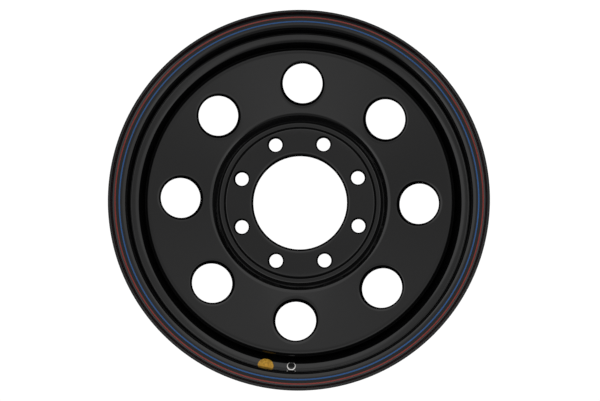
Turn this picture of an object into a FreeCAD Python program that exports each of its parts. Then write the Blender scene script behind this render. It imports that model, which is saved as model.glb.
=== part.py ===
import FreeCAD, Part
import math
import os
import Sketcher

# A pressed steel wheel, 17 x 6.5 inch, eight studs, in millimetres.
# The wheel axis is Z, the hub mounting plane is Z = 0 and the outer face looks along +Z.
# The first vent lies on +X.

doc = FreeCAD.newDocument("steel_wheel")
sheet = doc.addObject("Spreadsheet::Sheet", "sizes")

wheel_sizes = {
    # Rolled rim
    "rim_sheet": 3.2,
    "rim_width": 165.1,
    "wheel_offset": 13.95,
    "bead_seat_diameter": 436.6,
    "flange_height": 17.3,
    "flange_reach": 13.0,
    "curl_radius": 9.5,
    "heel_radius": 6.5,
    "lip_rounding": 1.2,
    "seat_length": 20.0,
    "inner_seat_length": 19.2,
    "seat_slope": 5.0,
    "seat_end_radius": 12.0,
    "shoulder_rise": 0.8,
    "shoulder_distance": 28.1,
    "shoulder_radius": 6.0,
    "well_depth": 17.3,
    "well_wall_slope": 20.0,
    "well_bend_radius": 16.8,
    "well_clearance": 7.0,
    "well_slope_length": 22.0,
    "slope_radius": 20.0,
    "ledge_drop": 3.8,
    "ledge_gap": 8.5,
    "ledge_radius": 8.0,
    "hump_rise": 0.1,
    "hump_distance": 23.0,
    "hump_radius": 4.0,
    # Valve hole
    "valve_hole_diameter": 11.5,
    "valve_hole_drop": 7.7,
    "valve_hole_angle": -91.5,
    "valve_cut_length": 24.0,
    # Pressed disc
    "disc_plate": 6.0,
    "bore_diameter": 123.0,
    "bore_rolling": 6.4,
    "land_facing": 1.4,
    "pad_rise": 3.6,
    "pad_margin": 14.05,
    "pad_edge_radius": 7.0,
    "groove_width": 8.1,
    "groove_inner_rounding": 2.0,
    "groove_outer_rounding": 3.0,
    "crown_setback": 10.4,
    "crown_height": 17.0,
    "crown_rounding": 12.0,
    "cone_slope": 20.0,
    "skirt_bend_radius": 9.0,
    "skirt_end": -12.0,
    # Holes in the disc
    "vent_count": 8,
    "vent_inner_margin": 13.0,
    "vent_outer_margin": 22.6,
    "vent_cut_length": 40.0,
    "vent_edge_rounding": 4.0,
    "vent_back_rounding": 1.0,
    "stud_count": 8,
    "stud_circle_diameter": 165.1,
    "stud_hole_diameter": 19.0,
    "seat_cone_diameter": 23.0,
    "seat_cone_angle": 60.0,
    "stud_turn": 24.5,
    # Welds between disc skirt and rim well
    "weld_count": 8,
    "weld_leg": 5.0,
    "weld_crown": 3.8,
    "weld_arc": 27.0,
    "weld_first_angle": 9.0,
    "weld_end_rounding": 1.6,
    # Pinstripe tape and round label
    "tape_thickness": 0.2,
    "tape_width": 2.0,
    "red_tape_angle": 22.4,
    "blue_tape_angle": -6.25,
    "label_diameter": 20.0,
    "label_thickness": 0.2,
    "label_drop": 6.3,
    "label_fold": 4.5,
    "label_angle": -100.2,
}

for row, (name, value) in enumerate(wheel_sizes.items(), start=1):
    cell = "B" + str(row)
    sheet.set("A" + str(row), name)
    sheet.set(cell, str(value))
    sheet.setAlias(cell, name)
doc.recompute()

vector = FreeCAD.Vector
z_axis = vector(0, 0, 1)
y_axis = vector(0, 1, 0)
section_turn = FreeCAD.Rotation(vector(1, 0, 0), 90)

# Positions shared by more than one piece, written as sheet formulas.
seat_radius = "sizes.bead_seat_diameter / 2"
flange_radius = "(sizes.bead_seat_diameter / 2 + sizes.flange_height)"
outer_face = "(sizes.rim_width / 2 - sizes.wheel_offset)"
inner_face = "(-sizes.rim_width / 2 - sizes.wheel_offset)"
well_outside = "(sizes.bead_seat_diameter / 2 - sizes.well_depth)"
well_inside = "(sizes.bead_seat_diameter / 2 - sizes.well_depth - sizes.rim_sheet)"
shoulder_radius_at = "(sizes.bead_seat_diameter / 2 + sizes.shoulder_rise)"
shoulder_height = "(sizes.rim_width / 2 - sizes.wheel_offset - sizes.shoulder_distance)"
ledge_outside = "(sizes.bead_seat_diameter / 2 - sizes.ledge_drop)"
groove_height = "(sizes.disc_plate - sizes.land_facing)"
pad_height = "(sizes.disc_plate - sizes.land_facing + sizes.pad_rise)"
pad_radius = "(sizes.stud_circle_diameter / 2 + sizes.pad_margin)"
groove_radius = "(" + pad_radius + " + sizes.groove_width)"
crown_radius = "(" + groove_radius + " + sizes.crown_setback)"
well_inner_end = "(sizes.skirt_end - sizes.weld_leg - sizes.well_clearance)"
hump_height = "(" + inner_face + " + sizes.hump_distance)"
valve_hole_radius = "(sizes.bead_seat_diameter / 2 - sizes.valve_hole_drop)"
label_radius = "(sizes.bead_seat_diameter / 2 - sizes.label_drop)"
wall_tangent = "tan(sizes.well_wall_slope * 1 deg)"
seat_tangent = "tan(sizes.seat_slope * 1 deg)"
cone_tangent = "tan(sizes.cone_slope * 1 deg)"
cone_cosine = "cos(sizes.cone_slope * 1 deg)"

# The vents fill the cone between the crown and the skirt, less a margin on each side.
cone_length = "((" + well_inside + " - " + crown_radius + ") / " + cone_cosine + ")"
vent_diameter = "(" + cone_length + " - sizes.vent_inner_margin - sizes.vent_outer_margin)"
vent_circle_radius = (
    "(" + crown_radius + " + (sizes.vent_inner_margin + " + vent_diameter + " / 2) * " + cone_cosine + ")")

# Point numbers of a line or arc in a sketch, and how near counts as the same place.
start_point, end_point, centre_point = range(1, 4)
same_place = 0.01


def number(formula):
    return float(sheet.evalExpression(formula))


def ends_from(sketch, arc, place):
    """The two end numbers of an arc, the one nearer to a place first."""
    return sorted((start_point, end_point), key=lambda end: sketch.getPoint(arc, end).distanceToPoint(place))


def rounded_path(name, corners):
    """Open sketch of straight runs joined by tangent arcs.

    Each corner is (name, radius from the axis, height, rounding), all sheet formulas.
    The sharp corners stay in the sketch as construction points and carry the dimensions.
    """
    sketch = doc.addObject("Sketcher::SketchObject", name)
    sketch.Placement = FreeCAD.Placement(vector(0, 0, 0), section_turn)
    points = [vector(number(corner[1]), number(corner[2]), 0) for corner in corners]
    arcs = []
    starts = [points[0]]
    ends = []
    for before, here, after, corner in zip(points, points[1:], points[2:], corners[1:]):
        rounding = number(corner[3])
        back = (before - here).normalize()
        ahead = (after - here).normalize()
        half_angle = back.getAngle(ahead) / 2
        reach = rounding / math.tan(half_angle)
        bisector = (back + ahead).normalize()
        centre = here + bisector * (rounding / math.sin(half_angle))
        first = here + back * reach
        second = here + ahead * reach
        ends.append(first)
        starts.append(second)
        middle = centre - bisector * rounding
        arcs.append(Part.Arc(first, middle, second))
    ends.append(points[-1])
    lines = [sketch.addGeometry(Part.LineSegment(a, b)) for a, b in zip(starts, ends)]
    bends = [sketch.addGeometry(arc) for arc in arcs]
    for index, bend in enumerate(bends):
        first_end, second_end = ends_from(sketch, bend, ends[index])
        sketch.addConstraint(Sketcher.Constraint("Tangent", lines[index], end_point, bend, first_end))
        sketch.addConstraint(Sketcher.Constraint("Tangent", bend, second_end, lines[index + 1], start_point))
        label = corners[index + 1][0]
        rounding_index = sketch.addConstraint(
            Sketcher.Constraint("Radius", bend, number(corners[index + 1][3])))
        sketch.renameConstraint(rounding_index, label + "_rounding")
        sketch.setExpression("Constraints." + label + "_rounding", corners[index + 1][3])
    for index, corner in enumerate(corners):
        if index == 0:
            place = (lines[0], start_point)
        elif index == len(corners) - 1:
            place = (lines[-1], end_point)
        else:
            mark = sketch.addGeometry(Part.Point(points[index]), True)
            sketch.addConstraint(Sketcher.Constraint("PointOnObject", mark, start_point, lines[index - 1]))
            sketch.addConstraint(Sketcher.Constraint("PointOnObject", mark, start_point, lines[index]))
            place = (mark, start_point)
        for axis, kind, formula in ((0, "DistanceX", corner[1]), (1, "DistanceY", corner[2])):
            label = corner[0] + ("_radius" if axis == 0 else "_height")
            size_index = sketch.addConstraint(
                Sketcher.Constraint(kind, -1, start_point, place[0], place[1], points[index][axis]))
            sketch.renameConstraint(size_index, label)
            sketch.setExpression("Constraints." + label, formula)
    return sketch


def thickened(name, path, thickness):
    section = doc.addObject("Part::Offset2D", name)
    section.Source = path
    section.Mode = "Skin"
    section.Join = "Intersection"
    section.Fill = True
    section.setExpression("Value", thickness)
    return section


def revolved(name, section, angle="360"):
    ring = doc.addObject("Part::Revolution", name)
    ring.Source = section
    ring.Axis = z_axis
    ring.Base = vector(0, 0, 0)
    ring.Solid = True
    ring.setExpression("Angle", angle)
    return ring


def origin_plane(body, role):
    return [item for item in body.Origin.OriginFeatures if item.Role == role][0]


def body_on(name, base):
    body = doc.addObject("PartDesign::Body", name)
    body.Label = name
    body.BaseFeature = base
    doc.recompute()
    return body


def patterned(body, name, feature, count):
    pattern = body.newObject("PartDesign::PolarPattern", name)
    pattern.Originals = [feature]
    pattern.Axis = (origin_plane(body, "Z_Axis"), [""])
    pattern.Angle = 360
    pattern.setExpression("Occurrences", count)
    body.Tip = pattern
    doc.recompute()
    return pattern


def rounded_edges(body, name, base, edges, radius):
    rounding = body.newObject("PartDesign::Fillet", name)
    rounding.Base = (base, edges)
    rounding.setExpression("Radius", radius)
    body.Tip = rounding
    doc.recompute()
    return rounding


def edges_where(shape, test):
    names = []
    for index, edge in enumerate(shape.Edges, start=1):
        if test(edge):
            names.append("Edge" + str(index))
    return names


def circle_sketch(sketch, name, distance, diameter):
    """One circle on the sketch's X axis, its place and diameter sheet formulas."""
    middle = vector(number(distance), 0, 0)
    circle = sketch.addGeometry(Part.Circle(middle, z_axis, number(diameter) / 2))
    for label, constraint, formula in (
            ("distance", ("DistanceX", -1, start_point, circle, centre_point, number(distance)), distance),
            ("diameter", ("Diameter", circle, number(diameter)), diameter)):
        index = sketch.addConstraint(Sketcher.Constraint(*constraint))
        sketch.renameConstraint(index, name + "_" + label)
        sketch.setExpression("Constraints." + name + "_" + label, formula)
    sketch.addConstraint(Sketcher.Constraint("PointOnObject", circle, centre_point, -1))
    doc.recompute()


# Rim: one sheet of even thickness, drawn as its tyre side and thickened towards the axis.
rim_path = rounded_path("rim_path", [
    ("outer_lip", flange_radius, outer_face + " + sizes.flange_reach", "0"),
    ("outer_curl", flange_radius, outer_face, "sizes.curl_radius"),
    ("outer_heel", seat_radius, outer_face, "sizes.heel_radius"),
    ("outer_seat_end", seat_radius + " - sizes.seat_length * " + seat_tangent,
     outer_face + " - sizes.seat_length", "sizes.seat_end_radius"),
    ("shoulder", shoulder_radius_at, shoulder_height, "sizes.shoulder_radius"),
    ("well_outer", well_outside,
     shoulder_height + " - (sizes.shoulder_rise + sizes.well_depth) * " + wall_tangent,
     "sizes.well_bend_radius"),
    ("well_inner", well_outside, well_inner_end, "sizes.slope_radius"),
    ("ledge_start", ledge_outside, well_inner_end + " - sizes.well_slope_length", "sizes.slope_radius"),
    ("ledge_end", ledge_outside, hump_height + " + sizes.ledge_gap", "sizes.ledge_radius"),
    ("hump", seat_radius + " + sizes.hump_rise", hump_height, "sizes.hump_radius"),
    ("inner_seat_end", seat_radius + " - sizes.inner_seat_length * " + seat_tangent,
     inner_face + " + sizes.inner_seat_length", "sizes.hump_radius"),
    ("inner_heel", seat_radius, inner_face, "sizes.heel_radius"),
    ("inner_curl", flange_radius, inner_face, "sizes.curl_radius"),
    ("inner_lip", flange_radius, inner_face + " - sizes.flange_reach", "0"),
])
rim_section = thickened("rim_section", rim_path, "-sizes.rim_sheet")
rim_blank = revolved("rim_blank", rim_section)
doc.recompute()

rim = body_on("rim", rim_blank)
lip_heights = [
    number(outer_face + " + sizes.flange_reach"),
    number(inner_face + " - sizes.flange_reach"),
]


def is_lip_edge(edge):
    box = edge.BoundBox
    flat = box.ZLength < same_place
    return flat and min(abs(box.ZMin - height) for height in lip_heights) < same_place


lip_edges = edges_where(rim.Shape, is_lip_edge)
rounded_edges(rim, "lip_rounding", rim.Tip, lip_edges, "sizes.lip_rounding")

# The valve hole is drilled square to the outer wall of the well.
valve_hole = rim.newObject("PartDesign::SubtractiveCylinder", "valve_hole")
valve_hole.setExpression("Radius", "sizes.valve_hole_diameter / 2")
valve_hole.setExpression("Height", "sizes.valve_cut_length")
wall_slope = number("sizes.well_wall_slope")


def wall_height(radius):
    """Height of the well wall, tyre side, at a radius given as a sheet formula."""
    return number(shoulder_height + " - (" + shoulder_radius_at + " - " + radius + ") * " + wall_tangent)


def on_well_wall(angle, radius, below):
    """Placement square to the well wall, its origin a given way below the tyre side."""
    turn = FreeCAD.Placement(vector(0, 0, 0), FreeCAD.Rotation(z_axis, number(angle)))
    spot = vector(number(radius), 0, wall_height(radius))
    tilt = FreeCAD.Placement(spot, FreeCAD.Rotation(y_axis, -wall_slope))
    sink = FreeCAD.Placement(vector(0, 0, -number(below)), FreeCAD.Rotation())
    return turn * tilt * sink


valve_hole.Placement = on_well_wall(
    "sizes.valve_hole_angle", valve_hole_radius, "sizes.valve_cut_length / 2")
rim.Tip = valve_hole
doc.recompute()

# Disc: a pressed plate of even thickness, drawn as its outer face and thickened inwards.
disc_path = rounded_path("disc_path", [
    ("bore_lip", "sizes.bore_diameter / 2", "0", "0"),
    ("bore_edge", "sizes.bore_diameter / 2", pad_height, "sizes.bore_rolling"),
    ("pad", pad_radius, pad_height, "sizes.pad_edge_radius"),
    ("groove_inner", pad_radius + " + sizes.pad_rise", groove_height, "sizes.groove_inner_rounding"),
    ("groove_outer", groove_radius, groove_height, "sizes.groove_outer_rounding"),
    ("crown", crown_radius, "sizes.crown_height", "sizes.crown_rounding"),
    ("skirt_top", well_inside,
     "sizes.crown_height + (" + well_inside + " - " + crown_radius + ") * " + cone_tangent,
     "sizes.skirt_bend_radius"),
    ("skirt_end", well_inside, "sizes.skirt_end", "0"),
])
disc_section = thickened("disc_section", disc_path, "-sizes.disc_plate")
disc_blank = revolved("disc_blank", disc_section)
doc.recompute()
disc = body_on("disc", disc_blank)

# The land that meets the hub is faced flat at the mounting plane.
facing = disc.newObject("PartDesign::SubtractiveCylinder", "land_facing_cut")
facing.setExpression("Radius", crown_radius)
facing.setExpression("Height", "sizes.disc_plate")
facing.Placement = FreeCAD.Placement(vector(0, 0, -number("sizes.disc_plate")), FreeCAD.Rotation())
disc.Tip = facing
doc.recompute()

# Vents, punched square to the cone.
vent_outline = disc.newObject("Sketcher::SketchObject", "vent_outline")
vent_outline.AttachmentSupport = [(origin_plane(disc, "XY_Plane"), "")]
vent_outline.MapMode = "FlatFace"
vent_outline.AttachmentOffset = FreeCAD.Placement(
    vector(0, 0, 0), FreeCAD.Rotation(vector(0, -1, 0), number("sizes.cone_slope")))
vent_outline.setExpression("AttachmentOffset.Rotation.Angle", "sizes.cone_slope")
vent_outline.setExpression("AttachmentOffset.Base.x", vent_circle_radius)
vent_outline.setExpression(
    "AttachmentOffset.Base.z",
    "sizes.crown_height + (" + vent_circle_radius + " - " + crown_radius + ") * " + cone_tangent)
circle_sketch(vent_outline, "vent", "0", vent_diameter)
vent_cut = disc.newObject("PartDesign::Pocket", "vent_cut")
vent_cut.Profile = vent_outline
vent_cut.Type = "Length"
vent_cut.SideType = "Symmetric"
vent_cut.setExpression("Length", "sizes.vent_cut_length")
disc.Tip = vent_cut
doc.recompute()
vents = patterned(disc, "vents", vent_cut, "sizes.vent_count")

# Stud holes with conical nut seats.
stud_outline = disc.newObject("Sketcher::SketchObject", "stud_outline")
stud_outline.AttachmentSupport = [(origin_plane(disc, "XY_Plane"), "")]
stud_outline.MapMode = "FlatFace"
stud_outline.setExpression("AttachmentOffset.Base.z", pad_height)
stud_outline.setExpression("AttachmentOffset.Rotation.Angle", "sizes.stud_turn")
circle_sketch(stud_outline, "stud", "sizes.stud_circle_diameter / 2", "sizes.stud_hole_diameter")
stud_hole = disc.newObject("PartDesign::Hole", "stud_hole")
stud_hole.Profile = stud_outline
stud_hole.Threaded = False
stud_hole.DepthType = "ThroughAll"
stud_hole.HoleCutType = "Countersink"
stud_hole.setExpression("Diameter", "sizes.stud_hole_diameter")
stud_hole.setExpression("HoleCutDiameter", "sizes.seat_cone_diameter")
stud_hole.setExpression("HoleCutCountersinkAngle", "sizes.seat_cone_angle")
disc.Tip = stud_hole
doc.recompute()
stud_holes = patterned(disc, "stud_holes", stud_hole, "sizes.stud_count")

# Coined edges of the vents, rounder in front than behind.
slope = math.radians(number("sizes.cone_slope"))
vent_normal = vector(-math.sin(slope), 0, math.cos(slope))
vent_centre = vent_outline.AttachmentOffset.Base
vent_step = 360 / number("sizes.vent_count")
vent_radius = number(vent_diameter) / 2
edge_samples = 12


plate = number("sizes.disc_plate")


def vent_edge_side(edge):
    """+1 for the front edge of a vent, -1 for its back edge, 0 for any other edge."""
    middle = edge.BoundBox.Center
    angle = math.degrees(math.atan2(middle.y, middle.x))
    turn = FreeCAD.Rotation(z_axis, round(angle / vent_step) * vent_step)
    axis = turn.multVec(vent_normal)
    centre = turn.multVec(vent_centre)
    points = edge.discretize(edge_samples)
    radii = [(point - centre).cross(axis).Length for point in points]
    if max(abs(radius - vent_radius) for radius in radii) > same_place:
        return 0
    levels = [(point - centre).dot(axis) for point in points]
    if max(levels) - min(levels) > plate / 2:
        return 0
    if max(levels) > -plate / 4:
        return 1
    return -1 if min(levels) < same_place - plate else 0


front_edges = edges_where(disc.Shape, lambda edge: vent_edge_side(edge) > 0)
rounded_edges(disc, "vent_front_rounding", disc.Tip, front_edges, "sizes.vent_edge_rounding")
back_edges = edges_where(disc.Shape, lambda edge: vent_edge_side(edge) < 0)
rounded_edges(disc, "vent_back_rounding", disc.Tip, back_edges, "sizes.vent_back_rounding")

# Welds: short fillet beads in the corner of the skirt end and the well.
weld_section = doc.addObject("Sketcher::SketchObject", "weld_section")
weld_section.Placement = FreeCAD.Placement(vector(0, 0, 0), section_turn)
corner = vector(number(well_inside), number("sizes.skirt_end"), 0)
leg = number("sizes.weld_leg")
on_skirt = corner + vector(-leg, 0, 0)
on_well = corner + vector(0, -leg, 0)
crown_point = corner + vector(-1, -1, 0).normalize() * number("sizes.weld_crown")
well_side = weld_section.addGeometry(Part.LineSegment(on_well, corner))
skirt_side = weld_section.addGeometry(Part.LineSegment(corner, on_skirt))
crown_arc = weld_section.addGeometry(Part.Arc(on_skirt, crown_point, on_well))
skirt_end, well_end = ends_from(weld_section, crown_arc, on_skirt)
crown_mark = weld_section.addGeometry(Part.Point(crown_point), True)
for constraint in (
        ("Coincident", well_side, end_point, skirt_side, start_point),
        ("Coincident", skirt_side, end_point, crown_arc, skirt_end),
        ("Coincident", crown_arc, well_end, well_side, start_point),
        ("Vertical", well_side),
        ("Horizontal", skirt_side),
        ("Equal", well_side, skirt_side),
        ("PointOnObject", crown_mark, start_point, crown_arc)):
    weld_section.addConstraint(Sketcher.Constraint(*constraint))
crown_across = "sizes.weld_crown * cos(45 deg)"
corner_end = (well_side, end_point)
crown_end = (crown_mark, start_point)
for name, constraint, formula in (
        ("well_radius", ("DistanceX", -1, start_point, *corner_end, corner.x), well_inside),
        ("skirt_end", ("DistanceY", -1, start_point, *corner_end, corner.y), "sizes.skirt_end"),
        ("leg", ("Distance", skirt_side, leg), "sizes.weld_leg"),
        ("crown_in", ("DistanceX", *crown_end, *corner_end, corner.x - crown_point.x), crown_across),
        ("crown_down", ("DistanceY", *crown_end, *corner_end, corner.y - crown_point.y), crown_across)):
    weld_section.addConstraint(Sketcher.Constraint(*constraint))
    weld_section.renameConstraint(weld_section.ConstraintCount - 1, name)
    weld_section.setExpression("Constraints." + name, formula)
doc.recompute()

weld_step = 360 / number("sizes.weld_count")
end_rounding = number("sizes.weld_end_rounding")
beads = []
for index in range(int(number("sizes.weld_count"))):
    bead = revolved("weld_bead_" + str(index + 1), weld_section, "sizes.weld_arc")
    doc.recompute()
    end_edges = []
    for edge_index, edge in enumerate(bead.Shape.Edges, start=1):
        if edge.Curve.TypeId == "Part::GeomCircle" and abs(edge.Curve.Axis.z) < same_place:
            end_edges.append((edge_index, end_rounding, end_rounding))
    rounded = doc.addObject("Part::Fillet", "rounded_bead_" + str(index + 1))
    rounded.Base = bead
    rounded.Edges = end_edges
    rounded.Placement = FreeCAD.Placement(
        vector(0, 0, 0),
        FreeCAD.Rotation(z_axis, number("sizes.weld_first_angle") + index * weld_step))
    beads.append(rounded)
disc_welds = doc.addObject("Part::Compound", "disc_welds")
disc_welds.Links = beads
disc_welds.Label = "disc_welds"
doc.recompute()


def middle_spoke(section, arc, mark, centre):
    """Construction line from the arc centre to its middle mark."""
    line = section.addGeometry(Part.LineSegment(centre, section.getPoint(mark, start_point)), True)
    section.addConstraint(Sketcher.Constraint("Coincident", line, start_point, arc, centre_point))
    section.addConstraint(Sketcher.Constraint("Coincident", line, end_point, mark, start_point))
    return line


# Pinstripes: tape rings laid on the rounded outer side of the flange.
def tape_ring(name, centre_radius, centre_height, surface_radius, free_radius, lean, side):
    """Ring whose section is a band between two arcs that share the flange's own centre.

    The band's middle leans that many degrees from the wheel axis; side is -1 for a
    surface that faces its centre and +1 for one that faces away from it.
    """
    body = doc.addObject("PartDesign::Body", name)
    body.Label = name
    section = body.newObject("Sketcher::SketchObject", name + "_section")
    section.AttachmentSupport = [(origin_plane(body, "XZ_Plane"), "")]
    section.MapMode = "FlatFace"
    centre = vector(number(centre_radius), number(centre_height), 0)
    radii = (number(surface_radius), number(free_radius))
    middle_angle = side * math.radians(90 - number(lean))
    middle_radius = centre_radius + " + " + surface_radius + " * sin(" + lean + " * 1 deg)"
    half_span = number("sizes.tape_width") / 2 / radii[0]
    arcs = []
    for radius in radii:
        circle = Part.Circle(centre, z_axis, radius)
        arcs.append(section.addGeometry(
            Part.ArcOfCircle(circle, middle_angle - half_span, middle_angle + half_span)))
    sides = []
    surface, free = arcs
    for end in (start_point, end_point):
        line = Part.LineSegment(section.getPoint(surface, end), section.getPoint(free, end))
        sides.append(section.addGeometry(line))
    for end, line in zip((start_point, end_point), sides):
        section.addConstraint(Sketcher.Constraint("Coincident", line, start_point, surface, end))
        section.addConstraint(Sketcher.Constraint("Coincident", line, end_point, free, end))
        section.addConstraint(Sketcher.Constraint("PointOnObject", surface, centre_point, line))
    section.addConstraint(Sketcher.Constraint("Coincident", surface, centre_point, free, centre_point))
    outward = vector(math.cos(middle_angle), math.sin(middle_angle), 0)
    mark = section.addGeometry(Part.Point(centre + outward * radii[0]), True)
    section.addConstraint(Sketcher.Constraint("PointOnObject", mark, start_point, surface))
    spoke = middle_spoke(section, surface, mark, centre)
    section.addConstraint(
        Sketcher.Constraint("Symmetric", surface, start_point, surface, end_point, spoke))
    chord = 2 * radii[0] * math.sin(half_span)
    middle = number(middle_radius)
    for label, constraint, formula in (
            ("centre_radius", ("DistanceX", -1, start_point, surface, centre_point, centre.x), centre_radius),
            ("centre_height", ("DistanceY", -1, start_point, surface, centre_point, centre.y), centre_height),
            ("surface_radius", ("Radius", surface, radii[0]), surface_radius),
            ("free_radius", ("Radius", free, radii[1]), free_radius),
            ("middle_radius", ("DistanceX", -1, start_point, mark, start_point, middle), middle_radius),
            ("width", ("Distance", surface, start_point, surface, end_point, chord), "sizes.tape_width")):
        index = section.addConstraint(Sketcher.Constraint(*constraint))
        section.renameConstraint(index, label)
        section.setExpression("Constraints." + label, formula)
    ring = body.newObject("PartDesign::Revolution", name + "_ring")
    ring.Profile = section
    ring.ReferenceAxis = (origin_plane(body, "Z_Axis"), [""])
    ring.Angle = 360
    body.Tip = ring
    doc.recompute()
    return body


curl_centre_radius = "(" + flange_radius + " - sizes.curl_radius)"
curl_centre_height = "(" + outer_face + " + sizes.curl_radius)"
heel_spread = "(1 / cos(sizes.seat_slope * 1 deg) - " + seat_tangent + ")"
heel_centre_radius = "(" + seat_radius + " + sizes.heel_radius * " + heel_spread + ")"
heel_centre_height = "(" + outer_face + " - sizes.heel_radius)"
curl_inside = "(sizes.curl_radius - sizes.rim_sheet)"
heel_outside = "(sizes.heel_radius + sizes.rim_sheet)"
red_pinstripe = tape_ring(
    "red_pinstripe", curl_centre_radius, curl_centre_height, curl_inside,
    curl_inside + " - sizes.tape_thickness", "sizes.red_tape_angle", -1)
blue_pinstripe = tape_ring(
    "blue_pinstripe", heel_centre_radius, heel_centre_height, heel_outside,
    heel_outside + " + sizes.tape_thickness", "sizes.blue_tape_angle", 1)

# Round label: the skin just above the rim's outer side, cut out by an upright cylinder.
label_section = thickened("label_section", rim_path, "-(sizes.rim_sheet + sizes.label_thickness)")
label_skin = revolved("label_skin", label_section)
label_punch = doc.addObject("Part::Cylinder", "label_punch")
label_punch.setExpression("Radius", "sizes.label_diameter / 2")
label_punch.setExpression("Height", "2 * sizes.rim_sheet + sizes.label_fold")
label_punch.Placement = on_well_wall("sizes.label_angle", label_radius, "sizes.rim_sheet")
label_blank = doc.addObject("Part::Common", "label_blank")
label_blank.Base = label_skin
label_blank.Tool = label_punch
dot_label = doc.addObject("Part::Cut", "dot_label")
dot_label.Base = label_blank
dot_label.Tool = rim_blank
dot_label.Label = "dot_label"
doc.recompute()

# Check the document and write the parts.
for item in doc.Objects:
    if "Invalid" in item.State or "Error" in item.State:
        raise RuntimeError(item.Name + " did not build: " + str(item.State))
os.makedirs("parts", exist_ok=True)
for piece in (rim, disc, disc_welds, red_pinstripe, blue_pinstripe, dot_label):
    if piece.Shape.isNull() or not piece.Shape.isValid():
        raise RuntimeError(piece.Label + " has no valid shape")
    piece.Shape.exportStep("parts/" + piece.Label + ".step")
    print(piece.Label, len(piece.Shape.Solids), "solids", round(piece.Shape.Volume), "mm3")
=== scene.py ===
import math

import bmesh
import bpy
import numpy as np
from mathutils import Matrix, Vector


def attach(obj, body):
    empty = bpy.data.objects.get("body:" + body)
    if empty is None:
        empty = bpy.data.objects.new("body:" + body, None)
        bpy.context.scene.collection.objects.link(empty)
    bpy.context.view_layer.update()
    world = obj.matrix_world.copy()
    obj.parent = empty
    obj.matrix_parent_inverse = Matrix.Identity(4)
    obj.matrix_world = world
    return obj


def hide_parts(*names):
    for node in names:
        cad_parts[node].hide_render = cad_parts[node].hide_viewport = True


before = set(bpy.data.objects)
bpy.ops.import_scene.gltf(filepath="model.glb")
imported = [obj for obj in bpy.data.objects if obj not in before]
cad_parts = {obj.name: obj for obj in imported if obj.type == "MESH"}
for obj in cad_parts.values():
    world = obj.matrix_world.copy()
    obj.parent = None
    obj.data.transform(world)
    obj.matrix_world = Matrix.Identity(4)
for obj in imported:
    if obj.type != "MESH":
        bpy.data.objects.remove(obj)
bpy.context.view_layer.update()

# Sizes are in millimetres, in the frame of the hub plane with +Z outwards.
millimetre = 0.001
joinDistance = 1e-6
tiny = 1e-9
sharpAngle = 35

pathValues = {
    "edgeMark": 0.3,  # extra points this far from both ends of a run keep its shading flat
    "shortRun": 1.5,  # runs shorter than this get no extra points
    "fewestSteps": 3,
}


def roundedPath(corners, arcStep, lineStep):
    # Straight runs between corners; each corner is cut off by an arc that touches both runs.
    # Returns points and unit tangents, denser on the arcs than on the runs.
    v = pathValues
    places = [np.array(corner[:2], float) for corner in corners]
    pieces = []
    last = places[0]
    for before, here, after, corner in zip(places, places[1:], places[2:], corners[1:]):
        back = (before - here) / np.linalg.norm(before - here)
        ahead = (after - here) / np.linalg.norm(after - here)
        half = math.acos(np.clip(back @ ahead, -1, 1)) / 2
        reach = corner[2] / math.tan(half)
        bisector = (back + ahead) / np.linalg.norm(back + ahead)
        centre = here + bisector * corner[2] / math.sin(half)
        first = here + back * reach
        second = here + ahead * reach
        pieces.append(("line", last, first))
        pieces.append(("arc", centre, first, second, corner[2]))
        last = second
    pieces.append(("line", last, places[-1]))
    points, tangents = [], []
    for piece in pieces:
        if piece[0] == "line":
            start, end = piece[1], piece[2]
            length = np.linalg.norm(end - start)
            share = np.linspace(0, 1, max(1, int(math.ceil(length / lineStep))) + 1)
            if length > v["shortRun"]:
                edge = min(v["edgeMark"], length / 4) / length
                share = np.unique(np.concatenate([share, [edge, 1 - edge]]))
            run = start + share[:, None] * (end - start)
            slope = np.tile((end - start) / max(length, tiny), (len(run), 1))
        else:
            centre, first, second, radius = piece[1:]
            startAngle = math.atan2(*(first - centre)[::-1])
            sweep = math.atan2(*(second - centre)[::-1]) - startAngle
            sweep = (sweep + math.pi) % (2 * math.pi) - math.pi
            steps = max(v["fewestSteps"], int(math.ceil(abs(math.degrees(sweep)) / arcStep)))
            angles = startAngle + sweep * np.linspace(0, 1, steps + 1)
            run = centre + radius * np.stack([np.cos(angles), np.sin(angles)], 1)
            slope = np.sign(sweep) * np.stack([-np.sin(angles), np.cos(angles)], 1)
        if points:
            run, slope = run[1:], slope[1:]
        points.append(run)
        tangents.append(slope)
    return np.concatenate(points), np.concatenate(tangents)


def offsetSide(points, tangents, distance):
    # The same path moved sideways, to the right of its direction of travel.
    return points + np.stack([tangents[:, 1], -tangents[:, 0]], 1) * distance


def arcLength(points):
    # Running sum of the distances from point to point.
    return np.concatenate([[0], np.cumsum(np.linalg.norm(np.diff(points, axis=0), axis=1))])


def unitSlopes(points):
    # Direction of travel at each point of a path, one long.
    slopes = np.gradient(points, axis=0)
    return slopes / np.linalg.norm(slopes, axis=1)[:, None]


def fullTurn(count):
    # Evenly spaced angles round a circle, the last one short of the first.
    return 2 * math.pi / count * np.arange(count)


def spun(profile, angles):
    # Carries (radius, height) points round the Z axis.
    # Angles are one row of angles, or one row of angles for each point of the profile.
    r, z = profile[:, 0][:, None], profile[:, 1][:, None]
    x = r * np.cos(angles)
    return np.stack([x, r * np.sin(angles), np.broadcast_to(z, x.shape)], -1)


def turned(points, degrees):
    # Points turned about the Z axis.
    a = math.radians(degrees)
    c, s = math.cos(a), math.sin(a)
    return points @ np.array([[c, -s, 0], [s, c, 0], [0, 0, 1]]).T


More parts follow.
